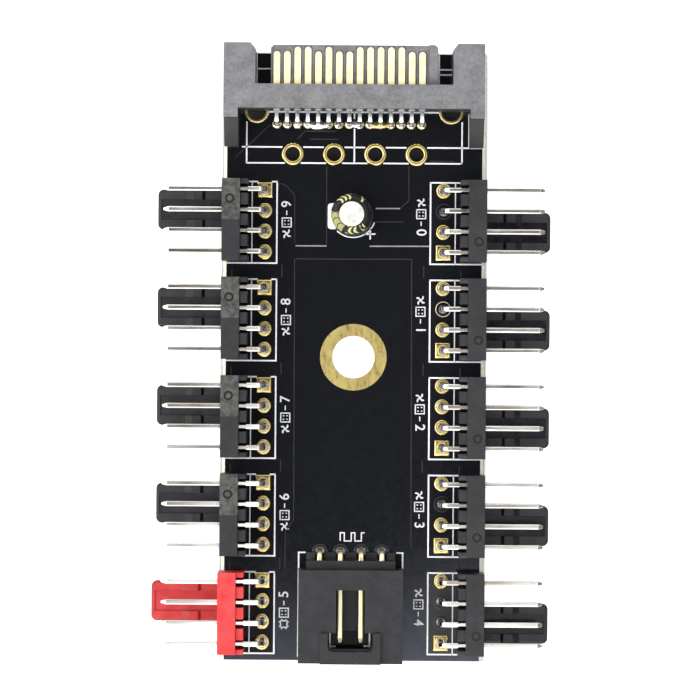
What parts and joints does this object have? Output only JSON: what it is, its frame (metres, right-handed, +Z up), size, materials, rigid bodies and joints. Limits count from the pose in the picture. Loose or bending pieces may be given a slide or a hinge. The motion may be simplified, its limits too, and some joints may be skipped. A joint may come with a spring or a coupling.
{
  "type": "pc fan controller hub",
  "caption": "Black circuit board hub with right-angle fan headers along both long sides, a drive-type power plug on one end, a shrouded control header on the other and a central hole.",
  "frame": {"origin": "on the axis of the central mounting hole, level with the underside of the board", "axes": "+X across the board, +Y along it towards the power plug, +Z up from the component side"},
  "size_m": [0.0487, 0.0755, 0.0104],
  "materials": {
    "black_board": "satin black solder mask over woven glass laminate",
    "gold_plating": "thin gold plating",
    "black_header_plastic": "satin moulded",
    "red_header_plastic": "satin moulded",
    "black_plug_plastic": "matte, glass-filled, faintly mottled",
    "tinned_pins": "bright tin plating",
    "gold_pins": "gold flash plating",
    "gold_contacts": "pale gold plating on the mating end, bright tin on the leads",
    "can_aluminium": "bright drawn aluminium",
    "printed_film": "shrink film with a pale gold stripe",
    "black_rubber": "matte"
  },
  "bodies": {
    "root": {"capacitor_can": "can_aluminium", "capacitor_leads": "tinned_pins", "capacitor_seal": "black_rubber", "capacitor_sleeve": "printed_film", "circuit_board": "black_board", "control_header_housing": "black_header_plastic", "control_header_pins": "gold_pins", "fan_header_0_housing": "black_header_plastic", "fan_header_0_pins": "tinned_pins", "fan_header_1_housing": "black_header_plastic", "fan_header_1_pins": "tinned_pins", "fan_header_2_housing": "black_header_plastic", "fan_header_2_pins": "tinned_pins", "fan_header_3_housing": "black_header_plastic", "fan_header_3_pins": "tinned_pins", "fan_header_4_housing": "black_header_plastic", "fan_header_4_pins": "tinned_pins", "fan_header_5_housing": "red_header_plastic", "fan_header_5_pins": "tinned_pins", "fan_header_6_housing": "black_header_plastic", "fan_header_6_pins": "tinned_pins", "fan_header_7_housing": "black_header_plastic", "fan_header_7_pins": "tinned_pins", "fan_header_8_housing": "black_header_plastic", "fan_header_8_pins": "tinned_pins", "fan_header_9_housing": "black_header_plastic", "fan_header_9_pins": "tinned_pins", "mounting_hole_ring": "gold_plating", "power_contact_1": "gold_contacts", "power_contact_10": "gold_contacts", "power_contact_11": "gold_contacts", "power_contact_12": "gold_contacts", "power_contact_13": "gold_contacts", "power_contact_14": "gold_contacts", "power_contact_15": "gold_contacts", "power_contact_2": "gold_contacts", "power_contact_3": "gold_contacts", "power_contact_4": "gold_contacts", "power_contact_5": "gold_contacts", "power_contact_6": "gold_contacts", "power_contact_7": "gold_contacts", "power_contact_8": "gold_contacts", "power_contact_9": "gold_contacts", "power_plug_housing": "black_plug_plastic"}
  },
  "joints": []
}
